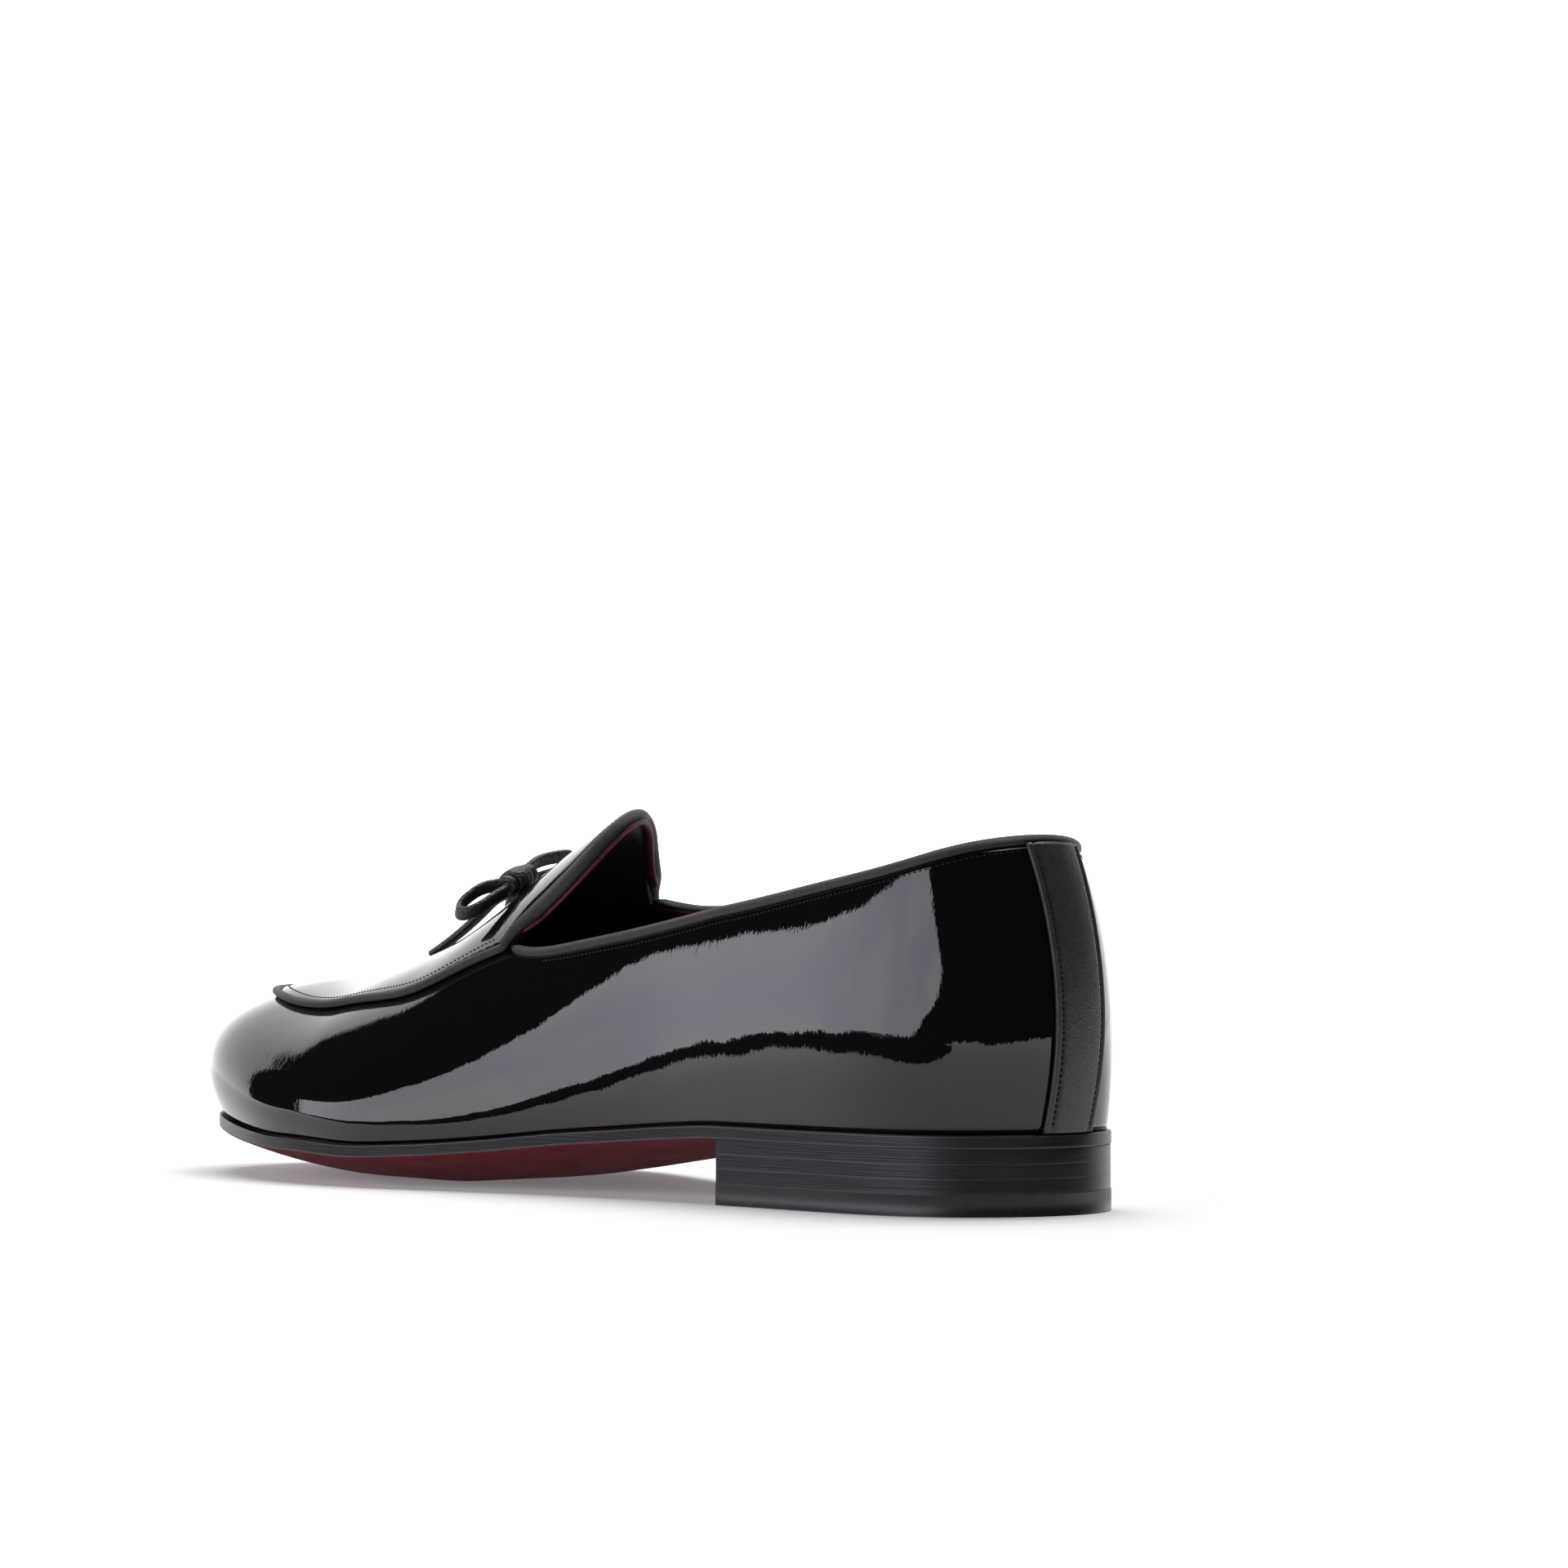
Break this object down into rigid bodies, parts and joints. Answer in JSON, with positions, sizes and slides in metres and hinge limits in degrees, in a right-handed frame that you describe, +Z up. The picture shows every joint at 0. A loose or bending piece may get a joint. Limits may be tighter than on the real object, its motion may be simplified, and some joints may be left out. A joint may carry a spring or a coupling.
{
  "type": "belgian loafer",
  "caption": "Left slip-on loafer in black patent leather with a piped moc-front apron, a tongue tab, a small leather bow, a back strip and a low stacked heel.",
  "frame": {"origin": "on the floor, under the middle of the shoe's box", "axes": "+X towards the toe, +Y towards the lateral side, +Z up"},
  "size_m": [0.3002, 0.1014, 0.0897],
  "materials": {
    "sole_leather": "black burnished edge, deep red underside",
    "heel_rubber": "smooth black rubber",
    "heel_stack": "stacked leather, black edge dressing",
    "sock_leather": "black sock lining",
    "patent_leather": "black patent leather, high gloss",
    "calf_trim": "black calf, fine grain, semi-matte",
    "lace_leather": "black grained leather lace, matte"
  },
  "bodies": {
    "root": {"outsole": "sole_leather", "top_piece": "heel_rubber", "heel_lift_1": "heel_stack", "heel_lift_2": "heel_stack", "heel_lift_3": "heel_stack", "insole": "sock_leather", "upper": "patent_leather", "apron_piping": "calf_trim", "apron_plug": "patent_leather", "collar_binding": "calf_trim", "back_stay": "calf_trim", "bow_loop_lateral": "lace_leather", "bow_loop_medial": "lace_leather", "bow_tail_lateral": "lace_leather", "bow_tail_medial": "lace_leather", "bow_knot": "lace_leather"}
  },
  "joints": []
}
